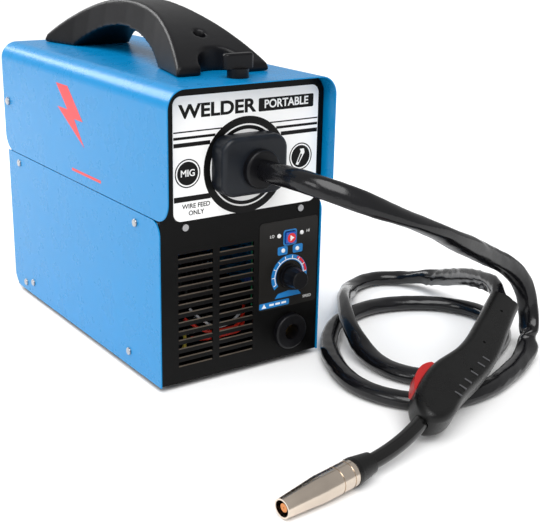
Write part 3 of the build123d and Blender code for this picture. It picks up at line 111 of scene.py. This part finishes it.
def finish(name, colour, rough, metal=0.0, grain=900, bump=0.12, spread=0.05, mottle=0.06, coat=0.0,
           shine=0.5):
    """A finish whose colour, gloss and surface vary finely over the piece."""
    made = bpy.data.materials.new(name)
    made.use_nodes = True
    tree = made.node_tree
    shader = tree.nodes["Principled BSDF"]
    place = tree.nodes.new("ShaderNodeTexCoord")
    fine = tree.nodes.new("ShaderNodeTexNoise")
    fine.inputs["Scale"].default_value = grain
    fine.inputs["Detail"].default_value = 3
    broad = tree.nodes.new("ShaderNodeTexNoise")
    broad.inputs["Scale"].default_value = grain / 30
    broad.inputs["Detail"].default_value = 5
    tint = tree.nodes.new("ShaderNodeValToRGB")
    tint.color_ramp.elements[0].position = 0.3
    tint.color_ramp.elements[1].position = 0.7
    tint.color_ramp.elements[0].color = tuple(c * (1 - mottle) for c in colour) + (1,)
    tint.color_ramp.elements[1].color = tuple(min(1, c * (1 + mottle)) for c in colour) + (1,)
    gloss = tree.nodes.new("ShaderNodeMapRange")
    gloss.inputs["To Min"].default_value = max(0.02, rough - spread)
    gloss.inputs["To Max"].default_value = rough + spread
    relief = tree.nodes.new("ShaderNodeBump")
    relief.inputs["Strength"].default_value = bump
    relief.inputs["Distance"].default_value = 0.0004
    tree.links.new(place.outputs["Object"], fine.inputs["Vector"])
    tree.links.new(place.outputs["Object"], broad.inputs["Vector"])
    tree.links.new(broad.outputs["Fac"], tint.inputs["Fac"])
    tree.links.new(broad.outputs["Fac"], gloss.inputs["Value"])
    tree.links.new(fine.outputs["Fac"], relief.inputs["Height"])
    tree.links.new(tint.outputs["Color"], shader.inputs["Base Color"])
    tree.links.new(gloss.outputs["Result"], shader.inputs["Roughness"])
    tree.links.new(relief.outputs["Normal"], shader.inputs["Normal"])
    shader.inputs["Metallic"].default_value = metal
    shader.inputs["Coat Weight"].default_value = coat
    shader.inputs["Specular IOR Level"].default_value = shine
    return made


def dress(material, *names):
    """Give CAD nodes their finish."""
    for name in names:
        for holder in nodes[name].material_slots:
            holder.material = material


lead_curve = bpy.data.curves.new("lead_line", "CURVE")
lead_curve.dimensions = "3D"
line = lead_curve.splines.new("NURBS")
line.points.add(len(LEAD_POINTS) - 1)
for knot, spot in zip(line.points, LEAD_POINTS):
    knot.co = (*spot, 1)
line.order_u = 3
line.use_endpoint_u = True
lead_curve.resolution_u = 24
lead_line = bpy.data.objects.new("lead_line", lead_curve)
bpy.context.collection.objects.link(lead_line)
bpy.context.view_layer.update()
traced = bpy.data.meshes.new_from_object(lead_line)
followed = [v.co.copy() for v in traced.vertices]
bpy.data.objects.remove(lead_line)

spine = [followed[0]]
for spot in followed:
    if (spot - spine[-1]).length > 0.0028:
        spine.append(spot)
rings, faces = [], []
RING = 30
side = Vector((1, 0, 0))
travel = 0.0
for index, spot in enumerate(spine):
    ahead = (spine[min(index + 1, len(spine) - 1)] - spine[max(index - 1, 0)]).normalized()
    side = (side - ahead * side.dot(ahead)).normalized()
    lift = ahead.cross(side)
    if index:
        travel += (spot - spine[index - 1]).length
    on_floor = min(1.0, max(0.0, (0.03 - spot.z) / 0.02))
    lean = 2.2 * noise.noise(Vector((travel * 3.2, 0.4, 1.7)))
    flat = Vector((0, 0, 1)) - ahead * ahead.z
    flat = flat.normalized() if flat.length > 0.3 else lift
    thick = (lift * cos(lean) + side * sin(lean)).lerp(flat, on_floor).normalized()
    wide = ahead.cross(thick).normalized()
    ease = min(1.0, travel / 0.03)
    loose = min(1.0, max(0.0, (travel - 0.04) / 0.08)) * min(1.0, max(0.0, (0.62 - travel) / 0.1))
    crumple = min(1.0, max(0.0, (travel - 1.7) / 0.15))
    for step in range(RING):
        angle = 2 * pi * step / RING
        spread_out = (cos(angle) * wide * (SHEATH_WIDE + 0.0012 * loose)
                      + sin(angle) * thick * (SHEATH_FLAT - 0.0004 * loose))
        fold = noise.noise(Vector((travel * 22, cos(angle) * 1.4, sin(angle) * 1.4)))
        crease = noise.noise(Vector((travel * 75 + 2 * sin(angle), cos(angle) * 0.8, 7.0)))
        puff = 1 + ease * (0.075 * fold + (0.045 + 0.05 * crumple) * crease)
        rings.append(spot + spread_out * puff)
for index in range(len(spine) - 1):
    for step in range(RING):
        a, b = index * RING + step, index * RING + (step + 1) % RING
        faces.append((a, b, b + RING, a + RING))
rings.extend((spine[0], spine[-1]))
for step in range(RING):
    faces.append((len(rings) - 2, (step + 1) % RING, step))
    last = (len(spine) - 1) * RING
    faces.append((len(rings) - 1, last + step, last + (step + 1) % RING))
lead_mesh = bpy.data.meshes.new("torch_lead_sheath")
lead_mesh.from_pydata([tuple(spot) for spot in rings], [], faces)
lead_mesh.update()
sheath = bpy.data.objects.new("torch_lead_sheath", lead_mesh)
bpy.context.collection.objects.link(sheath)
for face in lead_mesh.polygons:
    face.use_smooth = True
for vertex in lead_mesh.vertices:
    vertex.co.z = max(vertex.co.z, 0.0003)
sheath_skin = finish("sheath_skin", (0.004, 0.004, 0.005), 0.17, grain=240, bump=0.4, spread=0.07, mottle=0.3,
                     shine=0.4)
sheath.data.materials.append(sheath_skin)
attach(sheath, "case")
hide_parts("torch_lead")

# ---- Painted steel --------------------------------------------------------------------
# Hood and side panels are folded sheet in glossy blue powder coat; the control panel,
# rear panel and tray are the same sheet in satin black; the shelf is bare zinc plate.
blue_coat = finish("blue_coat", (0.0, 0.215, 0.50), 0.28, grain=1400, bump=0.06, mottle=0.03, coat=0.04,
                   shine=0.25)
black_coat = finish("black_coat", (0.002, 0.002, 0.002), 0.36, grain=1500, bump=0.15, mottle=0.2, shine=0.12)
zinc = finish("zinc_plate", (0.62, 0.62, 0.64), 0.32, metal=1.0, grain=300, bump=0.05)
bright_steel = finish("bright_screws", (0.4, 0.4, 0.41), 0.3, metal=1.0, grain=900, bump=0.05)
dress(blue_coat, "hood", "side_panel_left", "side_panel_right")
dress(black_coat, "front_panel", "rear_panel", "base_tray", "lock_bracket")
dress(zinc, "shelf", "feed_bracket", "feed_motor", "pressure_roller", "tension_stud", "tension_spring",
      "spool_bracket", "rectifier_diodes")
dress(bright_steel, "panel_screws", "pivot_screws", "handle_screws", "torch_screws")

# ---- Moulded plastic --------------------------------------------------------------------
# Knobs, housings and the torch handle are injection-moulded black plastic with a light
# grain; the outlet block is a shade bluer, and the neck is dipped in gloss insulation.
black_plastic = finish("black_plastic", (0.003, 0.003, 0.004), 0.34, grain=1800, bump=0.25, mottle=0.2,
                       shine=0.22)
slate_plastic = finish("slate_plastic", (0.006, 0.008, 0.012), 0.36, grain=1800, bump=0.22, mottle=0.15,
                       shine=0.3)
gloss_black = finish("gloss_black", (0.003, 0.003, 0.003), 0.12, grain=500, bump=0.04, mottle=0.2, shine=0.4)
grip_plastic = finish("grip_plastic", (0.004, 0.004, 0.004), 0.28, grain=1300, bump=0.6, mottle=0.25,
                      shine=0.25)
rubber = finish("soft_rubber", (0.006, 0.006, 0.006), 0.6, grain=1500, bump=0.4, shine=0.2)
red_plastic = finish("red_plastic", (0.42, 0.008, 0.008), 0.3, grain=900, bump=0.08)
dress(black_plastic, "lock_knob", "dial_knob", "earth_socket_body", "gland_collar", "fan_housing",
      "fan_rotor", "mains_switch_body", "mains_inlet", "pressure_arm", "tension_knob", "spool_nut",
      "wire_spool", "handle")
dress(slate_plastic, "gland_block")
dress(grip_plastic, "torch_grip_upper", "torch_grip_lower", "torch_insulator")
dress(gloss_black, "torch_neck")
dress(rubber, "torch_boot", "rubber_feet")
dress(red_plastic, "torch_trigger", "mains_switch_rocker")

# ---- Metals and electrical parts -----------------------------------------------------------
# Brass socket, adaptor and drive roller, the laminated core with its copper windings, and
# the torch's nozzle, turned from copper and plated.
brass = finish("turned_brass", (0.72, 0.52, 0.22), 0.28, metal=1.0, grain=500, bump=0.08)
copper = finish("wound_copper", (0.62, 0.25, 0.09), 0.3, metal=1.0, grain=600, bump=0.3)
nozzle_copper = finish("nozzle_plating", (0.66, 0.57, 0.48), 0.2, metal=1.0, grain=420, bump=0.06,
                       mottle=0.12)
core_steel = finish("core_steel", (0.16, 0.16, 0.17), 0.5, metal=0.8, grain=700, bump=0.4)
aluminium = finish("extruded_aluminium", (0.75, 0.76, 0.78), 0.36, metal=1.0, grain=500, bump=0.1)
board_green = finish("solder_mask", (0.02, 0.22, 0.1), 0.35, grain=800, bump=0.1)
component_blue = finish("component_sleeve", (0.03, 0.06, 0.22), 0.3, grain=800, bump=0.08)
wire_steel = finish("filler_wire", (0.60, 0.55, 0.48), 0.3, metal=1.0, grain=1500, bump=0.6)
dress(brass, "earth_socket_insert", "torch_adaptor", "drive_roller", "wire_guide")
dress(copper, "transformer_primary", "transformer_secondary", "torch_contact_tip")
dress(nozzle_copper, "torch_nozzle")
dress(core_steel, "transformer_core")
dress(aluminium, "rectifier_heatsink", "potentiometer")
dress(board_green, "control_board")
dress(component_blue, "board_components")
dress(wire_steel, "wire_coil")

# ---- Printed fascia -----------------------------------------------------------------------
# The white film on the control panel carries a black ring round the torch outlet, three
# bands, two round badges and a plain word; every print stands a hair off the film.
white_film = finish("white_film", (0.95, 0.95, 0.94), 0.3, grain=900, bump=0.03, mottle=0.02, coat=0.2)
black_ink = finish("black_ink", (0.003, 0.003, 0.003), 0.35, grain=900, bump=0.03, mottle=0.1, shine=0.15)
white_ink = finish("white_ink", (0.88, 0.88, 0.87), 0.35, grain=900, bump=0.03, mottle=0.02)
blue_ink = finish("blue_ink", (0.005, 0.19, 0.52), 0.35, grain=900, bump=0.03, mottle=0.04)
red_ink = finish("red_ink", (0.75, 0.012, 0.02), 0.35, grain=900, bump=0.03, mottle=0.04)
plate_film = finish("plate_film", (0.009, 0.008, 0.007), 0.32, grain=900, bump=0.04, mottle=0.2, shine=0.25)
dress(white_film, "front_label")
dress(plate_film, "control_plate")
dress(white_ink, "indicator_leds")
FILM_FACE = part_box("front_label")[0][1]
PLATE_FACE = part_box("control_plate")[0][1]


def disc(x, z, radius, count=72):
    """Corners of a circle, in millimetres on the control panel."""
    angles = [2 * pi * i / count for i in range(count)]
    return [(x + radius * cos(angle), z + radius * sin(angle)) for angle in angles]


def band(x, z, inner, outer, start, stop, count=48):
    """Corners of a curved strip between two angles, in degrees."""
    angles = [radians(start + (stop - start) * i / count) for i in range(count + 1)]
    far = [(x + outer * cos(a), z + outer * sin(a)) for a in angles]
    near = [(x + inner * cos(a), z + inner * sin(a)) for a in reversed(angles)]
    return far + near


def bar(left, low, across, high, radius=0.0):
    """Corners of a strip with rounded ends."""
    if radius == 0:
        return [(left, low), (across, low), (across, high), (left, high)]
    corners = []
    for cx, cz, start in ((across - radius, high - radius, 0), (left + radius, high - radius, 90),
                          (left + radius, low + radius, 180), (across - radius, low + radius, 270)):
        for i in range(9):
            angle = radians(start + 90 * i / 8)
            corners.append((cx + radius * cos(angle), cz + radius * sin(angle)))
    return corners


def settle(piece, material, body):
    """Make a drawn piece a mesh in its place, finished and riding on its body."""
    bpy.ops.object.select_all(action="DESELECT")
    piece.select_set(True)
    bpy.context.view_layer.objects.active = piece
    bpy.ops.object.convert(target="MESH")
    bpy.ops.object.transform_apply(location=True, rotation=True, scale=True)
    piece.data.materials.clear()
    piece.data.materials.append(material)
    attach(piece, body)
    return piece


def printed(name, loops, material, face=FILM_FACE, proud=0.00012, turn=(pi / 2, 0, 0),
            body="case"):
    """Ink of one colour: closed outlines in millimetres, inner ones being holes."""
    outline = bpy.data.curves.new(name, "CURVE")
    outline.dimensions = "2D"
    outline.fill_mode = "BOTH"
    outline.extrude = proud
    for loop in loops:
        edge = outline.splines.new("POLY")
        edge.points.add(len(loop) - 1)
        edge.use_cyclic_u = True
        for knot, (x, z) in zip(edge.points, loop):
            knot.co = (x / 1000, z / 1000, 0, 1)
    piece = bpy.data.objects.new(name, outline)
    bpy.context.collection.objects.link(piece)
    piece.rotation_euler = turn
    if turn[2] == 0:
        piece.location = (0, face, 0)
    else:
        piece.location = (face, 0, 0)
    return settle(piece, material, body)


def lettered(name, words, x, z, size, material, face=FILM_FACE, proud=0.00012, weight=0.0, stretch=1.0):
    """A plain word in the same ink, centred on a point."""
    bpy.ops.object.select_all(action="DESELECT")
    bpy.ops.object.text_add(location=(x / 1000, face, z / 1000), rotation=(pi / 2, 0, 0))
    piece = bpy.context.object
    piece.name = name
    piece.data.body = words
    piece.data.size = size / 1000
    piece.data.align_x = "CENTER"
    piece.data.align_y = "CENTER"
    piece.data.extrude = proud
    piece.data.offset = weight / 1000
    piece.scale = (stretch, 1, 1)
    return settle(piece, material, "case")


RING_X, RING_Z, RING_OUTER = 1.5, 228.6, 50
film_left, film_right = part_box("front_label")[0][0] * 1000 + 0.6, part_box("front_label")[1][0] * 1000 - 0.6
printed("outlet_ring", [disc(RING_X, RING_Z, RING_OUTER), disc(RING_X, RING_Z, 42.5)], black_ink,
        proud=0.0002)
printed("outlet_inner_ring", [disc(RING_X, RING_Z, 40.8), disc(RING_X, RING_Z, 37)], black_ink)
for side_name, badge_x, badge_z in (("left", -66.7, 228), ("right", 70, 230)):
    printed(f"badge_ring_{side_name}", [disc(badge_x, badge_z, 14.5), disc(badge_x, badge_z, 13.3)],
            black_ink)
    printed(f"badge_disc_{side_name}", [disc(badge_x, badge_z, 11.8)], black_ink)
lettered("badge_word", "MIG", -66.7, 228, 9.5, white_ink, proud=0.0003, weight=0.15)
printed("badge_tool", [[(64, 222), (67, 221), (75, 234), (74, 238), (69, 238), (70, 235)],
                       [(66, 224), (68, 224), (72, 232), (70, 233)]], white_ink, proud=0.0003)
for stripe, (low, high) in enumerate(((254.5, 258.6), (262, 264.6), (268.6, 269.9))):
    reach = ((RING_OUTER + 0.5) ** 2 - (low + 1.5 - RING_Z) ** 2) ** 0.5
    printed(f"stripe_left_{stripe}", [bar(film_left, low, RING_X - reach, high)], black_ink)
    printed(f"stripe_right_{stripe}", [bar(RING_X + reach, low, film_right, high)], black_ink)
printed("lower_band", [bar(film_left, 199.7, RING_X - 41.6, 205.2)], black_ink)
lettered("left_note_upper", "WIRE FEED", -57, 194.5, 6.6, black_ink, weight=0.12)
lettered("left_note_lower", "ONLY", -57, 187.3, 6.6, black_ink, weight=0.12)
lettered("right_note", "WIRE FEED", 63, 205, 6.8, black_ink, weight=0.15)
lettered("fascia_word", "WELDER", -32, 288.2, 18.5, black_ink, weight=0.6, stretch=1.22)
printed("word_box", [bar(16, 281.5, 84.5, 295, 1.5)], black_ink)
lettered("box_word", "PORTABLE", 50.2, 288.3, 11.6, white_ink, proud=0.0003, weight=0.25)

# ---- Control plate ------------------------------------------------------------------------
# Dark film round the push button and the wire-speed dial, printed in blue, white and red;
# the button is a square blue cap with a red disc and a white arrow.
button_blue = finish("button_blue", (0.01, 0.07, 0.38), 0.22, grain=700, bump=0.05, coat=0.4)
dress(button_blue, "mode_button")
button_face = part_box("mode_button")[0][1]
printed("button_disc", [disc(59.4, 143.1, 5.2)], red_ink, face=button_face,
        body="mode_button")
printed("button_arrow", [[(57.6, 139.8), (62.6, 143.1), (57.6, 146.4)]], white_ink, face=button_face,
        proud=0.0003, body="mode_button")
printed("button_frame", [bar(50.6, 134.3, 68.2, 151.9, 3), bar(52.2, 135.9, 66.6, 150.3, 2.4)], blue_ink,
        face=PLATE_FACE)
printed("lamp_wing_left", [bar(43.5, 124.6, 56.5, 134, 2)], blue_ink, face=PLATE_FACE)
printed("lamp_wing_right", [bar(63.3, 124.6, 76.3, 134, 2)], blue_ink, face=PLATE_FACE)
printed("speed_scale", [band(59.5, 100, 17.5, 23.5, -30, 215)], blue_ink, face=PLATE_FACE)
printed("speed_line", [band(59.5, 100, 18.5, 19.4, -20, 205)], white_ink, face=PLATE_FACE, proud=0.0002)
printed("speed_hot", [band(59.5, 100, 20.4, 23.0, 5, 62)], red_ink, face=PLATE_FACE, proud=0.0002)
for mark in range(10):
    angle = 205 - mark * 25
    printed(f"speed_mark_{mark}", [band(59.5, 100, 19.0, 22.6, angle - 1.2, angle + 1.2, 2)], white_ink,
            face=PLATE_FACE, proud=0.00028)
printed("scale_foot", [[(41, 76), (76, 76), (72, 81), (59, 83), (45, 81)]], blue_ink, face=PLATE_FACE)
printed("plate_strip", [bar(21, 67, 60, 73.6, 1.2)], blue_ink, face=PLATE_FACE)
printed("plate_strip_bolt", [[(24, 68), (30, 68), (27, 72.6)]], white_ink, face=PLATE_FACE, proud=0.0002)
for count, left in enumerate((34, 42, 50)):
    printed(f"plate_strip_bar_{count}", [bar(left, 69.2, left + 6, 71.4)], white_ink, face=PLATE_FACE,
            proud=0.0002)
lettered("lamp_word_left", "LO", 36, 147, 4.5, white_ink, face=PLATE_FACE)
lettered("lamp_word_right", "HI", 83, 147, 4.5, white_ink, face=PLATE_FACE)
lettered("speed_word", "SPEED", 84, 72, 4.2, white_ink, face=PLATE_FACE)

# ---- Louvres and wiring ---------------------------------------------------------------------
# Each slot's lower lip carries a thin brownish strip along its edge, and insulated leads in red, yellow and
# white run behind the lowest slots from the transformer to the outlet.
# A thin dark brown strip sits in the bottom of each slot.
lip_paint = finish("brownish_slot_lip", (0.11, 0.09, 0.07), 0.45, grain=700, bump=0.1, mottle=0.3, shine=0.3)
panel_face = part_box("front_panel")[0][1]
SLOT_ROWS, SLOT_PITCH, SLOT_HEIGHT, TOP_SLOT, LIP_HIGH = 13, 9.7, 5.5, 143, 0.6
lip_corners, lip_faces = [], []
for slot_left, slot_right in ((-78.0, -37.0), (-29.0, 13.5)):
    for row in range(SLOT_ROWS):
        low = TOP_SLOT - SLOT_PITCH * row - SLOT_HEIGHT / 2
        start = len(lip_corners)
        for depth in (panel_face + 0.0004, panel_face + 0.0022):
            for x, z in ((slot_left + 0.4, low), (slot_right - 0.4, low),
                         (slot_right - 0.4, low + LIP_HIGH), (slot_left + 0.4, low + LIP_HIGH)):
                lip_corners.append((x / 1000, depth, z / 1000))
        for quad in ((0, 1, 2, 3), (7, 6, 5, 4), (0, 4, 5, 1), (1, 5, 6, 2), (2, 6, 7, 3), (3, 7, 4, 0)):
            lip_faces.append(tuple(start + corner for corner in quad))
lip_mesh = bpy.data.meshes.new("louvre_lips")
lip_mesh.from_pydata(lip_corners, [], lip_faces)
lip_mesh.update()
louvre_lips = bpy.data.objects.new("louvre_lips", lip_mesh)
bpy.context.collection.objects.link(louvre_lips)
louvre_lips.data.materials.append(lip_paint)
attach(louvre_lips, "case")
wire_red = finish("wire_red", (0.7, 0.03, 0.015), 0.35, grain=900, bump=0.08)
wire_yellow = finish("wire_yellow", (0.62, 0.5, 0.08), 0.35, grain=900, bump=0.08)
wire_white = finish("wire_white", (0.6, 0.6, 0.62), 0.35, grain=900, bump=0.08)
for wire_name, thick, insulation, course in (
        ("wire_red_low", 2.3, wire_red,
         [(-46, -158, 40), (-38, -172, 42), (-14, -175, 44), (12, -172, 43), (24, -150, 52)]),
        ("wire_red_high", 1.8, wire_red,
         [(-50, -150, 60), (-40, -170, 49), (-20, -174, 49), (10, -171, 48), (26, -148, 60)]),
        ("wire_white_high", 1.5, wire_white,
         [(-44, -150, 70), (-34, -172, 54), (-8, -175, 53), (14, -160, 58)]),
        ("wire_yellow_low", 2.0, wire_yellow,
         [(-84, -150, 42), (-76, -172, 36), (-62, -174, 37), (-54, -156, 44)])):
    run = bpy.data.curves.new(wire_name, "CURVE")
    run.dimensions = "3D"
    run.bevel_depth = thick / 1000
    run.bevel_resolution = 4
    run.use_fill_caps = True
    bend = run.splines.new("NURBS")
    bend.points.add(len(course) - 1)
    for knot, (x, y, z) in zip(bend.points, course):
        knot.co = (x / 1000, y / 1000, z / 1000, 1)
    bend.order_u = 3
    bend.use_endpoint_u = True
    wire = bpy.data.objects.new(wire_name, run)
    bpy.context.collection.objects.link(wire)
    settle(wire, insulation, "case")
    bpy.ops.object.shade_smooth()

# ---- Carrying handle --------------------------------------------------------------------------
# One large moulding whose edges are all softly rounded, so a merged copy of its shape is
# remade with the edges eased.
eased = nodes["handle"].data.copy()
eased.transform(nodes["handle"].matrix_world)
soft_handle = bpy.data.objects.new("soft_handle", eased)
bpy.context.collection.objects.link(soft_handle)
bpy.ops.object.select_all(action="DESELECT")
soft_handle.select_set(True)
bpy.context.view_layer.objects.active = soft_handle
bpy.ops.object.mode_set(mode="EDIT")
bpy.ops.mesh.select_all(action="SELECT")
bpy.ops.mesh.remove_doubles(threshold=0.00002)
bpy.ops.object.mode_set(mode="OBJECT")
remade = soft_handle.modifiers.new("remade", "REMESH")
remade.mode = "VOXEL"
remade.voxel_size = 0.0017
easing = soft_handle.modifiers.new("easing", "SMOOTH")
easing.factor = 0.5
easing.iterations = 9
bpy.ops.object.modifier_apply(modifier="remade")
bpy.ops.object.modifier_apply(modifier="easing")
bpy.ops.object.shade_smooth()
soft_handle.data.materials.clear()
soft_handle.data.materials.append(black_plastic)
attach(soft_handle, "hood")
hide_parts("handle")

# ---- Torch grip ---------------------------------------------------------------------------------
# Short raised ribs along the edge of the grip, where the palm lies, coloured lighter than the grip plastic as
# a painted highlight.
along, outward = Vector((0.8839, 0.4227, 0.2001)), Vector((0.0096, -0.4442, 0.8959))
across = outward.cross(along)
torch_origin = Vector((0.0635, -0.407, 0.0276))
# The ribs are grip plastic; their lighter grey is a painted highlight.
rib_highlight_paint = finish("rib_painted_highlight", (0.07, 0.07, 0.075), 0.3, grain=1300, bump=0.2)
rib_corners, rib_faces = [], []
for s_mid, t_mid in ((96, -19), (84, -18), (67, -17), (52, -16), (40, -15), (28, -15)):
    start = len(rib_corners)
    for w in (10, 16.5):
        for s_off, t_off in ((-0.8, -3.5), (0.8, -3.5), (0.8, 4.5), (-0.8, 4.5)):
            rib_corners.append(tuple(torch_origin + (along * (s_mid + s_off) + across * (t_mid + t_off)
                                                     + outward * w) / 1000))
    for quad in ((3, 2, 1, 0), (4, 5, 6, 7), (0, 1, 5, 4), (1, 2, 6, 5), (2, 3, 7, 6), (3, 0, 4, 7)):
        rib_faces.append(tuple(start + corner for corner in quad))
rib_mesh = bpy.data.meshes.new("grip_ribs")
rib_mesh.from_pydata(rib_corners, [], rib_faces)
rib_mesh.update()
grip_ribs = bpy.data.objects.new("grip_ribs", rib_mesh)
bpy.context.collection.objects.link(grip_ribs)
grip_ribs.data.materials.append(rib_highlight_paint)
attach(grip_ribs, "case")

# ---- Side emblem --------------------------------------------------------------------------
# A plain red lightning bolt stencilled on each side of the hood, with a red bar under it.
BOLT = [(14, 288), (-22, 254), (0, 254), (-24, 226), (42, 262), (16, 262), (44, 288)]
hood_left, hood_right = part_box("hood")[0][0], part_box("hood")[1][0]
for side_name, face, sign in (("left", hood_left, -1), ("right", hood_right, 1)):
    facing = (pi / 2, 0, sign * pi / 2)
    underline = bar(-62, 195, 10, 198) if sign > 0 else bar(-10, 195, 62, 198)
    printed(f"side_bolt_{side_name}", [[(sign * y, z) for y, z in BOLT]], red_ink, face=face, proud=0.00015,
            turn=facing, body="hood")
    printed(f"side_bar_{side_name}", [underline], red_ink, face=face, proud=0.00015, turn=facing,
            body="hood")
